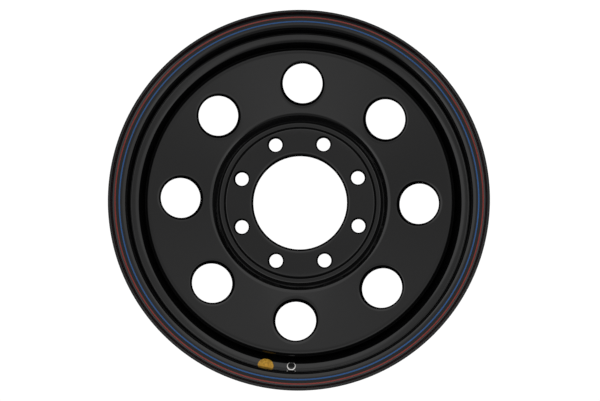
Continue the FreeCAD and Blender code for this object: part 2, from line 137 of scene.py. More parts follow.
def plainObject(name, points, faces, materials):
    # One object from millimetre points and quads: points that fall together are joined
    # and every face is turned outwards.
    mesh = bpy.data.meshes.new(name)
    mesh.from_pydata((points * millimetre).tolist(), [], faces.tolist())
    form = bmesh.new()
    form.from_mesh(mesh)
    bmesh.ops.remove_doubles(form, verts=form.verts, dist=joinDistance)
    bmesh.ops.dissolve_degenerate(form, edges=form.edges, dist=joinDistance)
    bmesh.ops.recalc_face_normals(form, faces=form.faces)
    if form.calc_volume(signed=True) < 0:
        bmesh.ops.reverse_faces(form, faces=form.faces)
    form.to_mesh(mesh)
    form.free()
    for material in materials:
        mesh.materials.append(material)
    piece = bpy.data.objects.new(name, mesh)
    bpy.context.scene.collection.objects.link(piece)
    return piece


def finishedPiece(piece, angle=sharpAngle):
    # Smooth shading up to an angle, and the piece rides on the wheel.
    mesh = piece.data
    mesh.polygons.foreach_set("use_smooth", np.ones(len(mesh.polygons), bool))
    mesh.set_sharp_from_angle(angle=math.radians(angle))
    mesh.update()
    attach(piece, "root")
    return piece


class Builder:
    # Collects grids of points and the faces between them into one mesh.
    def __init__(self):
        self.points = []
        self.faces = []
        self.count = 0

    def grid(self, points, closed=False):
        rows, columns = points.shape[:2]
        numbers = self.count + np.arange(rows * columns).reshape(rows, columns)
        self.points.append(points.reshape(-1, 3))
        self.count += rows * columns
        if closed:
            numbers = np.concatenate([numbers, numbers[:, :1]], 1)
        corners = (numbers[:-1, :-1], numbers[1:, :-1], numbers[1:, 1:], numbers[:-1, 1:])
        self.faces.append(np.stack(corners, -1).reshape(-1, 4))

    def plain(self, name, *materials):
        points, faces = np.concatenate(self.points), np.concatenate(self.faces)
        return plainObject(name, points, faces, materials)

    def finish(self, name, material, angle=sharpAngle):
        return finishedPiece(self.plain(name, material), angle)


# The rim: one sheet, rolled from the outer lip to the inner lip.
rimValues = {
    "sheet": 3.2,
    "flangeRadius": 235.6,
    "seatRadius": 218.3,
    "outerFace": 68.6,
    "innerFace": -96.5,
    "flangeReach": 13.0,
    "curlRadius": 9.5,
    "heelRadius": 6.5,
    "lipRounding": 1.2,
    "lipSteps": 5,
    "seatLength": 20.0,
    "innerSeatLength": 19.2,
    "seatSlope": 5.0,
    "seatEndRadius": 12.0,
    "shoulderRise": 1.8,
    "shoulderDistance": 28.1,
    "shoulderRadius": 5.2,
    "wellDepth": 17.3,
    "wellWallSlope": 20.0,
    "wellBendRadius": 18.6,
    "wellInnerEnd": -24.0,
    "slopeRadius": 20.0,
    "ledgeDrop": 3.8,
    "ledgeStart": -46.0,
    "ledgeEnd": -65.0,
    "ledgeRadius": 8.0,
    "humpRise": 0.1,
    "humpDistance": 23.0,
    "humpRadius": 4.0,
    "turns": 340,
    "arcStep": 8.0,
    "lineStep": 14.0,
}


def rimCorners():
    # Corners of the tyre side as (radius, height, rounding), from the outer lip to the inner one.
    v = rimValues
    flange, seat = v["flangeRadius"], v["seatRadius"]
    outer, inner = v["outerFace"], v["innerFace"]
    slope = math.tan(math.radians(v["seatSlope"]))
    wall = math.tan(math.radians(v["wellWallSlope"]))
    shoulder = outer - v["shoulderDistance"]
    wallDrop = (v["shoulderRise"] + v["wellDepth"]) * wall
    well, ledge = seat - v["wellDepth"], seat - v["ledgeDrop"]
    outerSeat, innerSeat = v["seatLength"], v["innerSeatLength"]
    return [
        (flange, outer + v["flangeReach"], 0),
        (flange, outer, v["curlRadius"]),
        (seat, outer, v["heelRadius"]),
        (seat - outerSeat * slope, outer - outerSeat, v["seatEndRadius"]),
        (seat + v["shoulderRise"], shoulder, v["shoulderRadius"]),
        (well, shoulder - wallDrop, v["wellBendRadius"]),
        (well, v["wellInnerEnd"], v["slopeRadius"]),
        (ledge, v["ledgeStart"], v["slopeRadius"]),
        (ledge, v["ledgeEnd"], v["ledgeRadius"]),
        (seat + v["humpRise"], inner + v["humpDistance"], v["humpRadius"]),
        (seat - innerSeat * slope, inner + innerSeat, v["humpRadius"]),
        (seat, inner, v["heelRadius"]),
        (flange, inner, v["curlRadius"]),
        (flange, inner - v["flangeReach"], 0),
    ]


rimTyreSide, rimTangents = roundedPath(rimCorners(), rimValues["arcStep"], rimValues["lineStep"])
rimAirSide = offsetSide(rimTyreSide, rimTangents, rimValues["sheet"])


def roundedEnd(outer, inner, outward, rounding, steps):
    # A sheet end between two surfaces with both its edges rounded; outward points off the end.
    across = (inner - outer) / np.linalg.norm(inner - outer)
    angles = np.linspace(0, math.pi / 2, steps + 1)
    inset = rounding * (1 - np.cos(angles))[:, None] * across
    rise = rounding * (np.sin(angles) - 1)[:, None] * outward
    return np.concatenate([outer + inset + rise, (inner - inset + rise)[::-1]])


# The valve hole: a shallow bevel in the wall and a bore set a little towards the hub.
valveValues = {
    "circleRadius": 209.6,
    "angle": -90.9,
    "boreRadius": 4.5,
    "boreShift": -0.75,
    "cutLength": 13.0,
    "bevelRadius": 5.4,
    "bevelSlope": 6.0,
    "bevelDrop": 0.4,
    "bevelTop": 0.8,
    "bevelFacing": 0.5,  # faces whose normal has more than this share along the axis are bare
    "sides": 64,
}


def wallFrame(radius, angle):
    # Place and turn of something square to the air side of the well's outer wall.
    v = rimValues
    heights = rimAirSide[:, 1]
    below = heights < v["outerFace"] - v["shoulderDistance"]
    wall = np.where(below & (heights > 0))[0][::-1]
    radii = rimAirSide[wall, 0]
    height = np.interp(radius, radii, heights[wall])
    ahead = [np.interp(radius, radii, rimTangents[wall, k]) for k in (0, 1)]
    slope = math.atan2(-ahead[1], -ahead[0])
    turn = Matrix.Rotation(math.radians(angle), 4, "Z")
    spot = Matrix.Translation(Vector((radius, 0, height)) * millimetre)
    return turn @ spot @ Matrix.Rotation(-slope, 4, "Y")


def drilled(piece, cutter, facing):
    # Takes a closed cutter out of a piece; faces cut square to the cutter's axis get
    # the piece's second material.
    square = [int(abs(face.normal.z) > facing) for face in cutter.data.polygons]
    cutter.data.polygons.foreach_set("material_index", square)
    cut = piece.modifiers.new("cut", "BOOLEAN")
    cut.operation = "DIFFERENCE"
    cut.solver = "EXACT"
    cut.object = cutter
    graph = bpy.context.evaluated_depsgraph_get()
    name, solid = piece.data.name, piece.data
    piece.data = bpy.data.meshes.new_from_object(piece.evaluated_get(graph))
    piece.modifiers.clear()
    bpy.data.meshes.remove(solid)
    bpy.data.objects.remove(cutter)
    piece.data.name = name


def drillValveHole(piece, material, holeMaterial):
    # Two turned cutters: a long cylinder for the bore and a flat cone for the bevel.
    h = valveValues
    end, edge = h["cutLength"] / 2, -h["bevelDrop"]
    point = edge - h["bevelRadius"] * math.tan(math.radians(h["bevelSlope"]))
    bore = [(0, -end), (h["boreRadius"], -end), (h["boreRadius"], end), (0, end)]
    bevel = [(0, point), (h["bevelRadius"], edge),
             (h["bevelRadius"], h["bevelTop"]), (0, h["bevelTop"])]
    place = wallFrame(h["circleRadius"], h["angle"])
    for name, outline, shift in (("valveBore", bore, h["boreShift"]), ("valveBevel", bevel, 0.0)):
        driller = Builder()
        driller.grid(spun(np.array(outline), fullTurn(h["sides"])), closed=True)
        cutter = driller.plain(name, material, holeMaterial)
        cutter.matrix_world = place @ Matrix.Translation((shift * millimetre, 0, 0))
        bpy.context.view_layer.update()
        drilled(piece, cutter, h["bevelFacing"])


def buildRim(material, holeMaterial):
    # A sheet profile closed by two rounded lips and carried round the axis, then drilled.
    v = rimValues
    up = np.array([0, 1.0])
    rounding, steps = v["lipRounding"], v["lipSteps"]
    topLip = roundedEnd(rimTyreSide[0], rimAirSide[0], up, rounding, steps)
    lowLip = roundedEnd(rimTyreSide[-1], rimAirSide[-1], -up, rounding, steps)
    tyreSide, airSide = (
        side[(side[:, 1] < topLip[0, 1]) & (side[:, 1] > lowLip[0, 1])]
        for side in (rimTyreSide, rimAirSide))
    loop = np.concatenate([topLip[::-1], tyreSide, lowLip, airSide[::-1]])
    loop = np.concatenate([loop, loop[:1]])
    builder = Builder()
    builder.grid(spun(loop, fullTurn(v["turns"])), closed=True)
    piece = builder.plain("rimSurface", material, holeMaterial)
    drillValveHole(piece, material, holeMaterial)
    return finishedPiece(piece)


# The disc: one pressed plate with vents in its cone and stud holes in its pad.
discValues = {
    "plate": 6.0,
    "boreRadius": 61.5,
    "boreRolling": 6.4,
    "landFacing": 1.4,
    "padRise": 3.6,
    "padRadius": 96.6,
    "padEdgeRadius": 7.0,
    "grooveRadius": 104.7,
    "grooveInnerRounding": 2.0,
    "grooveOuterRounding": 3.0,
    "crownRadius": 115.1,
    "crownHeight": 17.0,
    "crownRounding": 12.0,
    "coneSlope": 20.0,
    "skirtBendRadius": 6.8,
    "skirtRadius": 197.8,
    "skirtEnd": -12.0,
    "sectorColumns": 42,
    "arcStep": 6.5,
    "lineStep": 16.0,
    "settleRounds": 12,
}
ventValues = {
    "count": 8,
    "radius": 25.85,
    "circleRadius": 151.94,
    "turn": 0.0,
    "dishWidth": 3.4,
    "dishSlope": 16.0,
    "lipWidth": 6.95,
    "lipSlope": 57.0,
    "lipRounding": 1.4,
    "backRounding": 0.6,
    "zoneInner": 120.4,
    "zoneOuter": 184.6,
    "sideColumns": 26,
    "rows": (0.0, 0.04, 0.3, 0.65, 1.0),
    "dishSteps": 5,
    "roundSteps": 7,
    "backSteps": 4,
}
studValues = {
    "count": 8,
    "radius": 8.8,
    "circleRadius": 82.55,
    "turn": 24.5,
    "seatRadius": 10.8,
    "seatHalfAngle": 30.0,
    "seatFoot": (0.25, 0.4),  # the seat bends into the bore this far in and this far up
    "seatOverrun": 0.1,
    "edgeRounding": 0.4,
    "zoneInner": 69.2,
    "zoneOuter": 96.0,
    "sideColumns": 16,
    "rows": (0.0, 0.06, 0.3, 0.65, 1.0),
    "roundSteps": 3,
}


def discCorners():
    # Corners of the front face as (radius, height, rounding), from the bore to the skirt's end.
    v = discValues
    groove = v["plate"] - v["landFacing"]
    pad = groove + v["padRise"]
    coneRun = v["skirtRadius"] - v["crownRadius"]
    skirtTop = v["crownHeight"] + coneRun * math.tan(math.radians(v["coneSlope"]))
    return [
        (v["boreRadius"], 0, 0),
        (v["boreRadius"], pad, v["boreRolling"]),
        (v["padRadius"], pad, v["padEdgeRadius"]),
        (v["padRadius"] + v["padRise"], groove, v["grooveInnerRounding"]),
        (v["grooveRadius"], groove, v["grooveOuterRounding"]),
        (v["crownRadius"], v["crownHeight"], v["crownRounding"]),
        (v["skirtRadius"], skirtTop, v["skirtBendRadius"]),
        (v["skirtRadius"], v["skirtEnd"], 0),
    ]


discFront, discTangents = roundedPath(
    discCorners(), discValues["arcStep"], discValues["lineStep"])
discBack = offsetSide(discFront, discTangents, discValues["plate"])


def splitAt(radius):
    # Index of the first front point past a radius, and the share of the way to it.
    index = int(np.argmax(discFront[:, 0] > radius))
    low, high = discFront[index - 1, 0], discFront[index, 0]
    return index, (radius - low) / (high - low)


def pointAt(path, mark):
    # The point of a path at a split mark, as one row.
    index, share = mark
    return (path[index - 1] * (1 - share) + path[index] * share)[None]


def stretch(path, start, end):
    # The part of a path between two split marks, ends included.
    low = 0 if start is None else start[0]
    high = len(path) if end is None else end[0]
    parts = [path[low:high]]
    if start is not None:
        parts.insert(0, pointAt(path, start))
    if end is not None:
        parts.append(pointAt(path, end))
    return np.concatenate(parts)


def faced(path):
    # The land that meets the hub is cut flat at the hub plane.
    flat = path.copy()
    near = flat[:, 0] < discValues["crownRadius"]
    flat[near, 1] = np.maximum(flat[near, 1], 0)
    return flat


def dropOnto(spots, normal, path):
    # Slides points along a normal until they meet the surface that a path sweeps round Z.
    rise = np.zeros(len(spots))
    order = np.argsort(path[:, 0])
    for _ in range(discValues["settleRounds"]):
        now = spots + rise[:, None] * normal
        reach = np.hypot(now[:, 0], now[:, 1])
        height = np.interp(reach, path[order, 0], path[order, 1])
        rise += (height - now[:, 2]) * normal[2]
    return spots + rise[:, None] * normal


def sectorBorder(path, half, columns, sideColumns):
    # Closed outline of one sector: inner arc, one side, outer arc back, other side back.
    inner, outer = path[0], path[-1]
    arc = np.linspace(-half, half, columns + 1)
    sides = np.linspace(0, 1, sideColumns + 1)
    sideRadius = (inner + sides[:, None] * (outer - inner))[:, 0]
    sidePath = np.stack([sideRadius, np.interp(sideRadius, path[:, 0], path[:, 1])], 1)
    return np.concatenate([
        spun(inner[None], arc)[0, :-1],
        spun(sidePath, np.array([half]))[:-1, 0],
        spun(outer[None], arc[::-1])[0, :-1],
        spun(sidePath, np.array([-half]))[:0:-1, 0],
    ])


def sectorHole(builder, v, place, faces, outlines, cuts):
    # One sector of the disc with a hole: front and back faces grow from the hole's outline
    # to the sector's border, and the hole's wall joins the two outlines.
    # Cuts are lists of (inset from the outline, depth below the face).
    centre, slope = place
    tangent = np.array([0, 1.0, 0])
    outward = np.array([math.cos(slope), 0, math.sin(slope)])
    normal = np.array([-math.sin(slope), 0, math.cos(slope)])
    half = math.pi / v["count"]
    rings = []
    spread = None
    for path, radius in zip(faces, outlines):
        border = sectorBorder(path, half, discValues["sectorColumns"], v["sideColumns"])
        across, along = (border - centre) @ tangent, (border - centre) @ outward
        if spread is None:
            spread = np.arctan2(along, across)
        rowPoints = []
        for share in v["rows"]:
            mixedAcross = radius * np.cos(spread) * (1 - share) + across * share
            mixedAlong = radius * np.sin(spread) * (1 - share) + along * share
            flat = centre + mixedAcross[:, None] * tangent + mixedAlong[:, None] * outward
            rowPoints.append(dropOnto(flat, normal, path))
        rowPoints[-1] = border
        rings.append(rowPoints)
    frontRows, backRows = rings
    frontCut, backCut = cuts
    direction = np.cos(spread)[:, None] * tangent + np.sin(spread)[:, None] * outward
    wall = [frontRows[0] - inset * direction - depth * normal for inset, depth in frontCut]
    wall += [backRows[0] - inset * direction + depth * normal for inset, depth in backCut[::-1]]
    column = np.stack(frontRows[:0:-1] + wall + backRows[1:])
    for index in range(v["count"]):
        angle = v["turn"] + index * 360 / v["count"]
        builder.grid(turned(column.reshape(-1, 3), angle).reshape(column.shape), closed=True)


def arcCut(radius, start, end, steps):
    # An arc that bends a face from one slope to another, as (inset, depth) pairs.
    return [(radius * (math.sin(a) - math.sin(start)), radius * (math.cos(start) - math.cos(a)))
            for a in np.linspace(start, end, steps + 1)]


def slopedCut(v):
    # A shallow dish of one radius, a tighter bend, then a straight steep lip.
    dish, lip = math.radians(v["dishSlope"]), math.radians(v["lipSlope"])
    cut = arcCut(v["dishWidth"] / math.sin(dish), 0, dish, v["dishSteps"])
    inset, depth = cut[-1]
    bend = arcCut(v["lipRounding"], dish, lip, v["roundSteps"])[1:]
    cut += [(inset + across, depth + down) for across, down in bend]
    inset, depth = cut[-1]
    return cut + [(v["lipWidth"], depth + (v["lipWidth"] - inset) * math.tan(lip))]


def seatedCut(v):
    # A rounded edge, then the cone of the nut's seat, then a last short bend into the bore.
    halfAngle = math.radians(v["seatHalfAngle"])
    depth = (v["seatRadius"] - v["radius"]) / math.tan(halfAngle)
    end = v["edgeRounding"] + v["seatRadius"] - v["radius"]
    footInset, footRise = v["seatFoot"]
    cut = arcCut(v["edgeRounding"], 0, math.pi / 2 - halfAngle, v["roundSteps"])
    return cut + [(end - footInset, depth - footRise), (end, depth + v["seatOverrun"])]


def buildDisc(material):
    # Rings carried round the axis for the bore, the crown and the skirt, and eight sectors
    # each for the stud holes and the vents. The ring between the sectors leans from the
    # studs' spacing to the vents' spacing, so that all the seams close.
    v, vent, stud = discValues, ventValues, studValues
    builder = Builder()
    back = faced(discBack)
    studIn, studOut = splitAt(stud["zoneInner"]), splitAt(stud["zoneOuter"])
    ventIn, ventOut = splitAt(vent["zoneInner"]), splitAt(vent["zoneOuter"])
    count = v["sectorColumns"] * vent["count"]
    step = 2 * math.pi / count
    studAngles = math.radians(stud["turn"] - 180 / stud["count"]) + step * np.arange(count)
    ventAngles = math.radians(vent["turn"] - 180 / vent["count"]) + step * np.arange(count)
    gap = (ventAngles[0] - studAngles[0]) % step
    shift = int(round((ventAngles[0] - studAngles[0] - gap) / step))
    boreRing = [stretch(discFront, None, studIn)[::-1], stretch(back, None, studIn)]
    builder.grid(spun(np.concatenate(boreRing), studAngles), closed=True)
    skirtRing = [stretch(discFront, ventOut, None), stretch(back, ventOut, None)[::-1]]
    builder.grid(spun(np.concatenate(skirtRing), ventAngles), closed=True)
    for path in (discFront, back):
        ring = stretch(path, studOut, ventIn)
        lean = np.linspace(0, 1, len(ring))[:, None] * gap
        builder.grid(spun(ring, studAngles[None] + shift * step + lean), closed=True)
    ventFaces = [stretch(path, ventIn, ventOut) for path in (discFront, back)]
    ventHeight = np.interp(vent["circleRadius"], ventFaces[0][:, 0], ventFaces[0][:, 1])
    sectorHole(
        builder, vent,
        (np.array([vent["circleRadius"], 0, ventHeight]), math.radians(v["coneSlope"])),
        ventFaces,
        (vent["radius"] + vent["lipWidth"], vent["radius"] + vent["backRounding"]),
        (slopedCut(vent), arcCut(vent["backRounding"], 0, math.pi / 2, vent["backSteps"])))
    studFaces = [stretch(path, studIn, studOut) for path in (discFront, back)]
    padHeight = v["plate"] - v["landFacing"] + v["padRise"]
    edge = stud["edgeRounding"]
    sectorHole(
        builder, stud,
        (np.array([stud["circleRadius"], 0, padHeight]), 0.0),
        studFaces,
        (stud["seatRadius"] + edge, stud["radius"] + edge),
        (seatedCut(stud), arcCut(edge, 0, math.pi / 2, stud["roundSteps"])))
    return builder.finish("discSurface", material)


# The weld beads in the corner between the disc's skirt and the well.
weldValues = {
    "count": 8,
    "leg": 5.0,
    "crown": 3.8,
    "arc": 27.0,
    "firstAngle": 9.0,
    "ripplePitch": 2.6,
    "rippleHeight": 0.22,
    "rippleFlatness": 0.7,
    "endLength": 4.0,
    "columns": 150,
    "sectionSteps": 12,
    "sharpAngle": 80,
}


def buildWelds(material):
    # A fillet section with an arched face, swelling in even ripples along the seam
    # and closing to nothing at both ends of each bead.
    v = weldValues
    corner = np.array([discValues["skirtRadius"], discValues["skirtEnd"]])
    builder = Builder()
    share = np.linspace(0, 1, v["columns"])
    run = math.radians(v["arc"]) * corner[0] * share
    wave = np.abs(np.sin(math.pi * run / v["ripplePitch"])) ** v["rippleFlatness"]
    ripple = v["rippleHeight"] * (wave - 1)
    fromEnd = np.minimum(run, run[-1] - run)
    closing = np.sqrt(np.clip(1 - (1 - np.clip(fromEnd / v["endLength"], 0, 1)) ** 2, 0, 1))
    across = np.linspace(0, math.pi / 2, v["sectionSteps"] + 1)
    chord = np.stack([-np.cos(across), -np.sin(across)], 1)
    flatReach = v["leg"] / np.abs(chord).sum(1)
    arch = np.sin(2 * across)
    swell = (v["crown"] - v["leg"] * math.sqrt(0.5)) * arch
    size = ((flatReach + swell)[:, None] + arch[:, None] * ripple[None]) * closing[None]
    r = corner[0] + chord[:, 0][:, None] * size
    z = corner[1] + chord[:, 1][:, None] * size
    seamRadius, seamHeight = np.full_like(run, corner[0]), np.full_like(run, corner[1])
    for index in range(v["count"]):
        angles = math.radians(v["firstAngle"] + index * 360 / v["count"]) + run / corner[0]
        c, s = np.cos(angles), np.sin(angles)
        face = np.stack([r * c, r * s, z], -1)
        hidden = np.stack([seamRadius * c, seamRadius * s, seamHeight], -1)
        builder.grid(np.concatenate([hidden[None], face, hidden[None]]))
    return builder.finish("weldBeads", material, v["sharpAngle"])


# The two stripes of tape on the outer flange.
tapeValues = {
    "thickness": 0.2,
    "width": 1.6,
    "redRadius": 228.5,
    "blueRadius": 223.2,
    "turns": 450,
    "sectionSteps": 6,
}


def buildTape(name, middleRadius, path, material):
    # A thin band that follows the air side of the flange by arc length and goes all round.
    v = tapeValues
    length = arcLength(path)
    centre = np.interp(middleRadius, path[::-1, 0], length[::-1])
    marks = centre + v["width"] * (np.linspace(0, 1, v["sectionSteps"] + 1) - 0.5)
    base = np.stack([np.interp(marks, length, path[:, k]) for k in (0, 1)], 1)
    top = offsetSide(base, unitSlopes(base), v["thickness"])
    loop = np.concatenate([base, top[::-1], base[:1]])
    builder = Builder()
    builder.grid(spun(loop, fullTurn(v["turns"])), closed=True)
    return builder.finish(name, material)


# The round paper label beside the valve hole.
labelValues = {
    "radius": 10.0,
    "thickness": 0.2,
    "lift": 0.01,
    "circleRadius": 213.4,
    "angle": -99.6,
    "ridgeHeight": 0.35,
    "ridgePlace": 0.72,
    "ridgeWidth": 0.06,
    "rings": 40,
    "spokes": 96,
    "sharpAngle": 60,
}


def buildLabel(material):
    # A disc of paper laid on the air side: across is round the wheel, along is arc length.
    v = labelValues
    heights = rimAirSide[:, 1]
    wall = np.where((heights > 0) & (heights < rimValues["outerFace"]))[0]
    path, marks = rimAirSide[wall], arcLength(rimAirSide)[wall]
    past = int(np.argmax(path[:, 0] < v["circleRadius"]))
    around = [past, past - 1]
    centre = np.interp(v["circleRadius"], path[around, 0], marks[around])
    rings = np.linspace(0, 1, v["rings"] + 1)[:, None]
    spokes = fullTurn(v["spokes"])
    along = centre + v["radius"] * rings * np.sin(spokes)
    across = v["radius"] * rings * np.cos(spokes)
    base, ahead = (
        np.stack([np.interp(along, marks, line[:, k]) for k in (0, 1)], -1)
        for line in (path, unitSlopes(path)))
    # The paper has puckered into an arched ridge that follows its upper edge.
    ridge = np.exp(-((rings - v["ridgePlace"]) / v["ridgeWidth"]) ** 2)
    ridge = ridge * np.sqrt(np.clip(np.sin(spokes), 0, 1))
    layers = []
    for lift in (np.full(along.shape, v["lift"]), v["thickness"] + v["ridgeHeight"] * ridge):
        r = base[..., 0] + ahead[..., 1] * lift
        z = base[..., 1] - ahead[..., 0] * lift
        turn = across / r + math.radians(v["angle"])
        layers.append(np.stack([r * np.cos(turn), r * np.sin(turn), z], -1))
    builder = Builder()
    builder.grid(np.concatenate([layers[0], layers[1][::-1]]), closed=True)
    return builder.finish("dotLabel", material, v["sharpAngle"])


# The finish that all materials share. Each noise has a scale and a detail.
sprayedValues = {
    "peelNoise": (420, 2),
    "waveNoise": (26, 1),
    "driftNoise": (14, 4),
    "speckNoise": (900, 1),
    "cloudNoise": (420, 4),
    "peelDistance": 0.0003,
    "waveDistance": 0.004,
    "roughDrift": 0.05,
    "speckRange": (0.72, 0.8),
    "cloudRange": (0.38, 0.64),
}


def nodeGroup(name, inputs, outputs):
    # An empty shader group with named sockets, and its input and output nodes.
    group = bpy.data.node_groups.new(name, "ShaderNodeTree")
    for label, default in inputs:
        socket = group.interface.new_socket(
            label, in_out="INPUT", socket_type="NodeSocketFloat")
        socket.default_value = default
    for label, kind in outputs:
        group.interface.new_socket(label, in_out="OUTPUT", socket_type=kind)
    return group, group.nodes.new("NodeGroupInput"), group.nodes.new("NodeGroupOutput")


def sprayedGroup():
    # Sprayed gloss paint: fine orange peel, slow waves of the pressed sheet, specks of dust,
    # cloudy patches, and a roughness that drifts a little from place to place.
    v = sprayedValues
    group, given, out = nodeGroup(
        "sprayedFinish",
        (("Peel", 0.02), ("Wave", 0.02), ("Rough", 0.06), ("Dust", 0.3), ("Cloud", 0.0)),
        (("Roughness", "NodeSocketFloat"), ("Normal", "NodeSocketVector"),
         ("Dust", "NodeSocketFloat")))
    nodes, links = group.nodes, group.links
    place = nodes.new("ShaderNodeTexCoord")

    def noise(name):
        node = nodes.new("ShaderNodeTexNoise")
        node.inputs["Scale"].default_value, node.inputs["Detail"].default_value = v[name]
        links.new(place.outputs["Object"], node.inputs["Vector"])
        return node.outputs["Fac"]

    def bump(height, strength, distance):
        node = nodes.new("ShaderNodeBump")
        node.inputs["Distance"].default_value = distance
        links.new(given.outputs[strength], node.inputs["Strength"])
        links.new(height, node.inputs["Height"])
        return node

    def spread(source, limits):
        node = nodes.new("ShaderNodeMapRange")
        node.inputs["From Min"].default_value, node.inputs["From Max"].default_value = limits
        links.new(source, node.inputs["Value"])
        return node.outputs["Result"]

    waveBump = bump(noise("waveNoise"), "Wave", v["waveDistance"])
    peelBump = bump(noise("peelNoise"), "Peel", v["peelDistance"])
    links.new(waveBump.outputs["Normal"], peelBump.inputs["Normal"])
    links.new(peelBump.outputs["Normal"], out.inputs["Normal"])
    rough = nodes.new("ShaderNodeMath")
    rough.operation = "MULTIPLY_ADD"
    rough.inputs[1].default_value = v["roughDrift"]
    links.new(noise("driftNoise"), rough.inputs[0])
    links.new(given.outputs["Rough"], rough.inputs[2])
    links.new(rough.outputs["Value"], out.inputs["Roughness"])
    specks = nodes.new("ShaderNodeMath")
    specks.operation = "MULTIPLY"
    links.new(spread(noise("speckNoise"), v["speckRange"]), specks.inputs[0])
    links.new(given.outputs["Dust"], specks.inputs[1])
    clouds = nodes.new("ShaderNodeMath")
    clouds.operation = "MULTIPLY_ADD"
    clouds.use_clamp = True
    links.new(spread(noise("cloudNoise"), v["cloudRange"]), clouds.inputs[0])
    links.new(given.outputs["Cloud"], clouds.inputs[1])
    links.new(specks.outputs["Value"], clouds.inputs[2])
    links.new(clouds.outputs["Value"], out.inputs["Dust"])
    return group


sprayed = sprayedGroup()
refraction = 1.5


def finishMaterial(name, v):
    # Colour blends into a second one where dust lies; gloss comes from the shared finish.
    material = bpy.data.materials.new(name)
    material.use_nodes = True
    nodes, links = material.node_tree.nodes, material.node_tree.links
    shader = nodes["Principled BSDF"]
    shader.inputs["IOR"].default_value = refraction
    shader.inputs["Metallic"].default_value = v["metal"]
    shader.inputs["Specular IOR Level"].default_value = v["gloss"]
    finish = nodes.new("ShaderNodeGroup")
    finish.node_tree = sprayed
    for label in ("Peel", "Wave", "Rough", "Dust", "Cloud"):
        finish.inputs[label].default_value = v[label.lower()]
    blend = nodes.new("ShaderNodeMix")
    blend.data_type = "RGBA"
    blend.inputs["A"].default_value = (*v["colour"], 1)
    blend.inputs["B"].default_value = (*v["second"], 1)
    links.new(finish.outputs["Dust"], blend.inputs["Factor"])
    links.new(blend.outputs["Result"], shader.inputs["Base Color"])
    links.new(finish.outputs["Roughness"], shader.inputs["Roughness"])
    links.new(finish.outputs["Normal"], shader.inputs["Normal"])
    return material


paintValues = {
    "colour": (0.0022, 0.0022, 0.0024),
    "second": (0.03, 0.03, 0.032),
    "gloss": 0.5,
    "metal": 0.0,
    "peel": 0.03,
    "wave": 0.02,
    "rough": 0.03,
    "dust": 0.12,
    "cloud": 0.0,
}
redValues = {
    "colour": (0.235, 0.014, 0.007),
    "second": (0.3, 0.05, 0.04),
    "gloss": 0.5,
    "metal": 0.0,
    "peel": 0.05,
    "wave": 0.0,
    "rough": 0.16,
    "dust": 0.2,
    "cloud": 0.1,
}
blueValues = {
    "colour": (0.013, 0.088, 0.275),
    "second": (0.04, 0.15, 0.38),
    "gloss": 0.5,
    "metal": 0.0,
    "peel": 0.05,
    "wave": 0.0,
    "rough": 0.16,
    "dust": 0.2,
    "cloud": 0.1,
}
paperValues = {
    "colour": (0.74, 0.42, 0.05),
    "second": (0.27, 0.12, 0.006),
    "gloss": 0.2,
    "metal": 0.0,
    "peel": 1.0,
    "wave": 0.05,
    "rough": 0.42,
    "dust": 0.2,
    "cloud": 0.6,
}
steelValues = {
    "colour": (0.62, 0.61, 0.59),
    "second": (0.4, 0.38, 0.36),
    "gloss": 0.5,
    "metal": 1.0,
    "peel": 0.1,
    "wave": 0.0,
    "rough": 0.24,
    "dust": 0.1,
    "cloud": 0.2,
}
blackPaint = finishMaterial("blackPaint", paintValues)
redTapeFinish = finishMaterial("redTape", redValues)
blueTapeFinish = finishMaterial("blueTape", blueValues)
labelFinish = finishMaterial("labelPaper", paperValues)
bareSteel = finishMaterial("bareSteel", steelValues)

print("building rim")
rimPiece = buildRim(blackPaint, bareSteel)
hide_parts("rim")
print("building disc")
discPiece = buildDisc(blackPaint)
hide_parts("disc")
print("building welds")
weldPiece = buildWelds(blackPaint)
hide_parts("disc_welds")
print("building stripes and label")
flangeSide = rimAirSide[rimAirSide[:, 1] > rimValues["outerFace"] - rimValues["heelRadius"]]
redStripe = buildTape("redStripe", tapeValues["redRadius"], flangeSide, redTapeFinish)
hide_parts("red_pinstripe")
blueStripe = buildTape("blueStripe", tapeValues["blueRadius"], flangeSide, blueTapeFinish)
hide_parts("blue_pinstripe")
labelPiece = buildLabel(labelFinish)
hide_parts("dot_label")

print("stage, light and camera")
# Lengths of the floor are in metres.
floorValues = {
    "size": 60.0,
    "drop": 0.0002,
    # the dark colour, out to its radius, is a painted shadow under the wheel, seen only in what
    # the paint mirrors
    "paintedShadow": (0.04, 0.04, 0.04),
    "light": (0.5, 0.5, 0.5),
    "paintedShadowRadius": 0.27,
    "lightRadius": 0.5,
    "rough": 0.9,
    "glow": 1.05,
}


